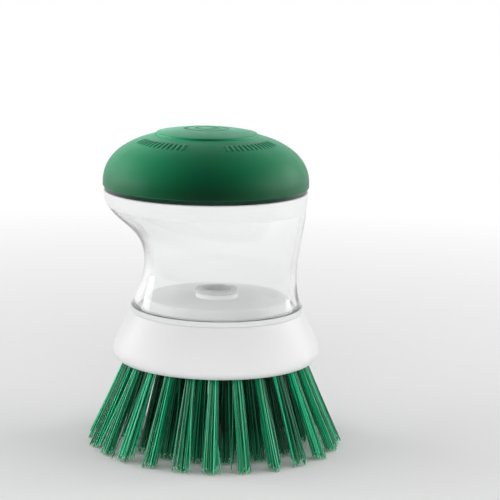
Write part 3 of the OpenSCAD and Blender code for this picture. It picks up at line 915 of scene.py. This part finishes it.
class BRUSH_OT_skirt(bpy.types.Operator):
    """Builds the white skirt that holds the reservoir and the block of tufts"""

    bl_idname = "palm_brush.skirt"
    bl_label = "White Skirt"

    def execute(self, context):
        s = context.scene.brush_skirt
        collar_z = SKIRT_HIGH.z
        widest = s.rim_z + s.rim_round
        flare = (
            (s.collar_r, collar_z),
            (s.collar_r + 2 * MM, collar_z - 3.1 * MM),
            (s.radius, widest + 3.4 * MM),
            (s.radius, widest),
        )
        soft = 0.3 * MM
        bore_r, collar_bore, ledge_r = 33.3 * MM, 28 * MM, 26.05 * MM
        block_top, shelf_z = BLOCK_TOP, 42.1 * MM
        path = [(collar_bore + soft, collar_z), (s.collar_r - soft * 0.6, collar_z)]
        path += [cubic(flare, t) for t in [0.02 + 0.98 * i / 30 for i in range(31)]]
        path += arc((s.radius - s.rim_round, widest), s.rim_round, 0, -85, 12)[1:]
        path += [
            (bore_r + 0.12 * MM, s.rim_z),
            (bore_r, s.rim_z + 0.12 * MM),
            (bore_r, block_top),
            (bore_r - 1.9 * MM, block_top),
            (bore_r - 1.9 * MM, shelf_z - 2 * MM),
            (ledge_r, shelf_z - 2 * MM),
            (ledge_r, shelf_z),
            (collar_bore, shelf_z),
            (collar_bore, 44 * MM),
            (collar_bore + 0.4 * MM, 45 * MM),
            (collar_bore, 46 * MM),
            (collar_bore, collar_z - soft),
        ]
        path.reverse()
        rings = [ring_of(0, r, z, 192) for r, z in path]
        verts, faces = loft(rings, closed=True)
        piece = add_piece("white_skirt", verts, faces, ("White plastic",), 40)
        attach(piece, "base")
        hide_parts("skirt")
        return {"FINISHED"}


class BRUSH_OT_bristles(bpy.types.Operator):
    """Builds the four rings of tufts, filament by filament"""

    bl_idname = "palm_brush.bristles"
    bl_label = "Bristles"

    corners = 6
    taper = 0.93  # of a filament's thickness, at its cut end
    stray_share = 0.06
    tip_gap = 0.1 * MM  # between the longest filament and the ground
    steps = (0.2, 0.4, 0.6, 0.8, 0.985, 1.0)
    # name, number of tufts, radius in millimetres and lean in degrees
    rings = (
        ("outer", 24, 30.0, 23.0),
        ("second", 18, 23.0, 14.72),
        ("third", 12, 16.0, 8.28),
        ("inner", 6, 9.0, 3.22),
    )

    def filament(self, points, radius, draw, verts, faces, indices):
        """Adds one filament along its points, with a closed cut end"""
        way = (points[-1] - points[0]).normalized()
        side = way.cross(UP.cross(way) if abs(way.z) < 0.99999 else Vector((1, 0, 0))).normalized()
        other = way.cross(side)
        twist = draw.uniform(0, math.pi)
        first = len(verts)
        n = self.corners
        for j, point in enumerate(points):
            thick = radius * (self.taper if j == len(points) - 1 else 1)
            for k in range(n):
                a = twist + 2 * math.pi * k / n
                verts.append(point + (side * math.cos(a) + other * math.sin(a)) * thick)
        for j in range(len(points) - 1):
            low, high = first + j * n, first + (j + 1) * n
            for k in range(n):
                m = (k + 1) % n
                faces.append((low + k, low + m, high + m, high + k))
                indices.append(int(j == len(points) - 2))
        last = first + (len(points) - 1) * n
        faces.append(tuple(first + k for k in range(n - 1, -1, -1)))
        faces.append(tuple(last + k for k in range(n)))
        indices.extend((0, 1))

    def execute(self, context):
        s = context.scene.brush_bristles
        mouth_z, top_z, reach_limit = 31 * MM, BLOCK_TOP, 45.9 * MM
        golden = math.pi * (3 - math.sqrt(5))
        for number, (name, tufts, ring_r, lean) in enumerate(self.rings):
            draw = random.Random(11 + number)
            slope = math.tan(math.radians(lean))
            verts, faces, indices = [], [], []
            for i in range(tufts):
                turn = 2 * math.pi * (i + tufts % 4 / 4) / tufts - math.pi / 2
                out = Vector((math.cos(turn), math.sin(turn), 0))
                side = Vector((-out.y, out.x, 0))

                def at(z, outward, sideways):
                    r = ring_r * MM + (mouth_z - z) * slope + outward
                    return out * r + side * sideways + UP * z

                wide = draw.uniform(0.85, 1.12)
                swing = draw.gauss(0, 0.35 * MM)
                for k in range(s.count):
                    away = math.sqrt((k + 0.5) / s.count)
                    a = golden * k + i
                    u, v = away * math.cos(a), away * math.sin(a)
                    tip_z = self.tip_gap + s.uneven * draw.random() ** 1.5
                    tip_u = u * s.spread_out + draw.gauss(0, 0.2 * MM)
                    tip_v = v * s.spread_side * wide + swing + draw.gauss(0, 0.2 * MM)
                    bow_u, bow_v = draw.gauss(0, 0.12 * MM), draw.gauss(0, 0.14 * MM)
                    if draw.random() < self.stray_share:
                        tip_v += draw.choice((-1, 1)) * draw.uniform(1.5, 3.6) * MM
                        bow_v += draw.gauss(0, 0.5 * MM)
                    hole = s.hole_r - s.filament_r
                    points = [
                        at(top_z + 0.6 * MM, u * hole * 0.85, v * hole * 0.85),
                        at(mouth_z, u * hole, v * hole),
                    ]
                    for t in self.steps:
                        bow = math.sin(math.pi * t)
                        points.append(
                            at(
                                mouth_z + (tip_z - mouth_z) * t,
                                u * hole * (1 - t) + tip_u * t + bow_u * bow,
                                v * hole * (1 - t) + tip_v * t + bow_v * bow,
                            )
                        )
                    reach = math.hypot(points[-1].x, points[-1].y)
                    if reach > reach_limit:
                        points[-1].x *= reach_limit / reach
                        points[-1].y *= reach_limit / reach
                    self.filament(points, s.filament_r, draw, verts, faces, indices)
            middle = ring_r * MM - (top_z - mouth_z) * slope
            half, backing_top = 2.6 * MM, top_z + 1.2 * MM
            backing = [
                (middle - half, top_z), (middle + half, top_z),
                (middle + half, backing_top), (middle - half, backing_top),
            ]
            ring_verts, ring_faces = loft([ring_of(0, r, z, 96) for r, z in backing], closed=True)
            start = len(verts)
            verts += [Vector(v) for v in ring_verts]
            faces += [tuple(start + k for k in face) for face in ring_faces]
            indices += [0] * len(ring_faces)
            piece = add_piece(
                name + "_bristles", verts, faces,
                # The inner rings get Shaded filament, the painted shade copy
                ("Shaded filament" if number else "Filament", "Cut end"), 65, indices,
            )
            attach(piece, "base")
            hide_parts(name + "_tufts")
        return {"FINISHED"}


class BRUSH_OT_stage(bpy.types.Operator):
    """Sets up the pale floor, the soft studio light and the camera"""

    bl_idname = "palm_brush.stage"
    bl_label = "Stage"

    def lamp(self, name, place, size, power, mirrored=False, receivers=None, lights=True):
        """A lamp aimed at the brush, for all pieces or for the receivers; or only their gloss"""
        data = bpy.data.lights.new(name, "AREA")
        data.shape = "ELLIPSE"
        data.size, data.size_y = size
        data.energy = power
        lamp = bpy.data.objects.new(name, data)
        lamp.visible_glossy = mirrored
        lamp.visible_transmission = False
        lamp.visible_diffuse = lights
        if receivers:
            lamp.light_linking.receiver_collection = receivers
        bpy.context.scene.collection.objects.link(lamp)
        lamp.location = place
        aim = Vector((0, 0, 0.06)) - Vector(place)
        lamp.rotation_euler = aim.to_track_quat("-Z", "Y").to_euler()

    def backdrop_ray(self, tree):
        """1 for the rays that see the white backdrop"""
        ray = add_node(tree, "ShaderNodeLightPath").outputs
        seen = math_node(tree, "MAXIMUM", ray["Is Camera Ray"], ray["Is Transmission Ray"])
        return math_node(tree, "MAXIMUM", seen, ray["Is Glossy Ray"])

    def mirrored(self, tree, ahead, level):
        """The backdrop's strength: 1, or level where a mirrored ray sees the camera's side"""
        ray = add_node(tree, "ShaderNodeLightPath").outputs
        bounced = math_node(tree, "SUBTRACT", ray["Is Glossy Ray"], ray["Is Transmission Ray"])
        return spread(tree, math_node(tree, "MULTIPLY", bounced, ahead), 0, 1, 1, level)

    def add_camera(self, scene, s):
        camera = bpy.data.objects.new("Camera", bpy.data.cameras.new("Camera"))
        scene.collection.objects.link(camera)
        camera.data.lens = s.lens
        camera.data.sensor_width = 36
        camera.data.clip_start = 0.01
        way = Vector((0, -math.cos(s.elevation), math.sin(s.elevation)))
        camera.location = Vector(s.middle) + s.distance * way
        look = Euler((math.pi / 2 - s.elevation, 0, 0)).to_matrix()
        camera.rotation_euler = (look @ Euler((0, 0, s.roll)).to_matrix()).to_euler()
        scene.camera = camera

    def add_floor(self, scene, s):
        mesh = bpy.data.meshes.new("Floor")
        verts, faces = loft([ring_of(0, r, 0, 96) for r in (0.0, 0.3, 1.0, 6.0)])
        mesh.from_pydata(verts, [], faces)
        floor = bpy.data.objects.new("floor", mesh)
        scene.collection.objects.link(floor)
        tree, shader = new_material("Floor", s.floor)
        mesh.materials.append(bpy.data.materials["Floor"])
        place = object_place(tree)
        far = add_node(
            tree, "ShaderNodeVectorMath", {"operation": "LENGTH"}, i0=place
        ).outputs["Value"]
        shade = tint(tree, noise(tree, place, 6.0, 2.0), s.floor, (0.93, 0.93, 0.93, 1))
        tree.links.new(shade, shader.inputs["Base Color"])
        shader.inputs["Roughness"].default_value = 0.8
        shader.inputs["Specular IOR Level"].default_value = 0.2
        depth = add_node(tree, "ShaderNodeSeparateXYZ", Vector=place).outputs["Y"]
        shown = self.mirrored(tree, spread(tree, depth, -0.05, 0.2, 1, 0), s.mirrored_front)
        white = add_node(tree, "ShaderNodeEmission", Color=(1, 1, 1, 1), Strength=shown).outputs[0]
        away = spread(tree, far, 0.08, 0.5, 0.0, 1.0)
        fade = math_node(tree, "MULTIPLY", away, self.backdrop_ray(tree))
        mix_output(tree, "Material Output", fade, shader.outputs[0], white)

    def add_room(self, scene, s):
        """The room's light, and the white backdrop that the camera sees in its place"""
        world = bpy.data.worlds.new("Studio")
        scene.world = world
        world.use_nodes = True
        tree = world.node_tree
        room = tree.nodes["Background"]
        room.inputs["Color"].default_value = (1, 1, 1, 1)
        place = add_node(tree, "ShaderNodeTexCoord").outputs["Generated"]
        depth = add_node(tree, "ShaderNodeSeparateXYZ", Vector=place).outputs["Y"]
        squares = add_node(
            tree, "ShaderNodeVectorMath", {"operation": "MULTIPLY"}, i0=place, i1=place
        )
        aside = add_node(
            tree, "ShaderNodeVectorMath", {"operation": "DOT_PRODUCT"},
            i0=squares.outputs[0], i1=(1.3, 0, -0.6),
        ).outputs["Value"]
        tree.links.new(
            spread(tree, depth, -0.8, 0.8, s.room_front, s.room_back), room.inputs["Strength"]
        )
        ahead = spread(tree, math_node(tree, "ADD", depth, aside), 0.1, 0.8, 1, 0)
        shown = self.mirrored(tree, ahead, s.mirrored_front)
        backdrop = add_node(tree, "ShaderNodeBackground", Color=(1, 1, 1, 1), Strength=shown)
        mix_output(
            tree, "World Output", self.backdrop_ray(tree), room.outputs[0], backdrop.outputs[0]
        )

    def receivers(self, name, piece):
        """A collection that links lamps to one piece"""
        linked = bpy.data.collections.new(name)
        linked.objects.link(bpy.data.objects[piece])
        return linked

    def add_lamps(self, s):
        nylon = self.receivers("Nylon", "outer_bristles")
        rubber = self.receivers("Rubber", "rubber_top")
        for name, side, gloss, edge in (
            ("Left", -1, s.gloss_left, s.edge_left), ("Right", 1, s.gloss_right, s.edge_right)
        ):
            self.lamp(
                name + " gloss", (side * 0.9, -0.35, 0.45), (0.25, 0.6), gloss, True, nylon, False
            )
            self.lamp(name + " edge", (side * 0.9, 0.0, 0.12), (0.6, 0.4), edge, False, rubber)
        for name, side in (("Left", -1), ("Right", 1)):
            self.lamp(name + " lamp", (side * 0.9, -0.15, 0.4), (1.0, 1.0), s.key)
            self.lamp(name + " rear lamp", (side * 0.85, 0.45, 0.35), (0.35, 0.9), s.rim, True)
        others = self.receivers("All but the rubber", "rubber_top")
        others.collection_objects[0].light_linking.link_state = "EXCLUDE"
        self.lamp("Front lamp", (0.0, -1.1, 0.35), (1.2, 0.8), s.front, receivers=others)
        self.lamp("Top lamp", (0.0, 0.15, 1.0), (1.0, 0.8), s.top)

    def execute(self, context):
        s = context.scene.brush_stage
        self.add_camera(context.scene, s)
        self.add_floor(context.scene, s)
        self.add_room(context.scene, s)
        self.add_lamps(s)
        context.scene.view_settings.view_transform = "Standard"
        return {"FINISHED"}


class BRUSH_PT_panel(bpy.types.Panel):
    """Lists the pieces of the brush"""

    bl_label = "Palm Brush"
    bl_idname = "BRUSH_PT_panel"
    bl_space_type = "VIEW_3D"
    bl_region_type = "UI"
    bl_category = "Brush"

    def draw(self, context):
        for operator in OPERATORS:
            self.layout.operator(operator.bl_idname)
        for name, group in GROUPS.items():
            box = self.layout.box()
            box.label(text=group.__doc__)
            for key in group.__annotations__:
                box.prop(getattr(context.scene, name), key)


OPERATORS = (
    BRUSH_OT_finishes,
    BRUSH_OT_reservoir,
    BRUSH_OT_rubber_top,
    BRUSH_OT_skirt,
    BRUSH_OT_bristles,
    BRUSH_OT_stage,
)


def register():
    for cls in (*GROUPS.values(), *OPERATORS, BRUSH_PT_panel):
        bpy.utils.register_class(cls)
    for name, group in GROUPS.items():
        setattr(bpy.types.Scene, name, PointerProperty(type=group))


def unregister():
    for name in GROUPS:
        delattr(bpy.types.Scene, name)
    for cls in (BRUSH_PT_panel, *reversed(OPERATORS), *reversed(GROUPS.values())):
        bpy.utils.unregister_class(cls)


def main():
    register()
    bpy.ops.palm_brush.finishes()
    bpy.ops.palm_brush.reservoir()
    bpy.ops.palm_brush.rubber_top()
    bpy.ops.palm_brush.skirt()
    bpy.ops.palm_brush.bristles()
    bpy.ops.palm_brush.stage()


if __name__ == "__main__":
    main()
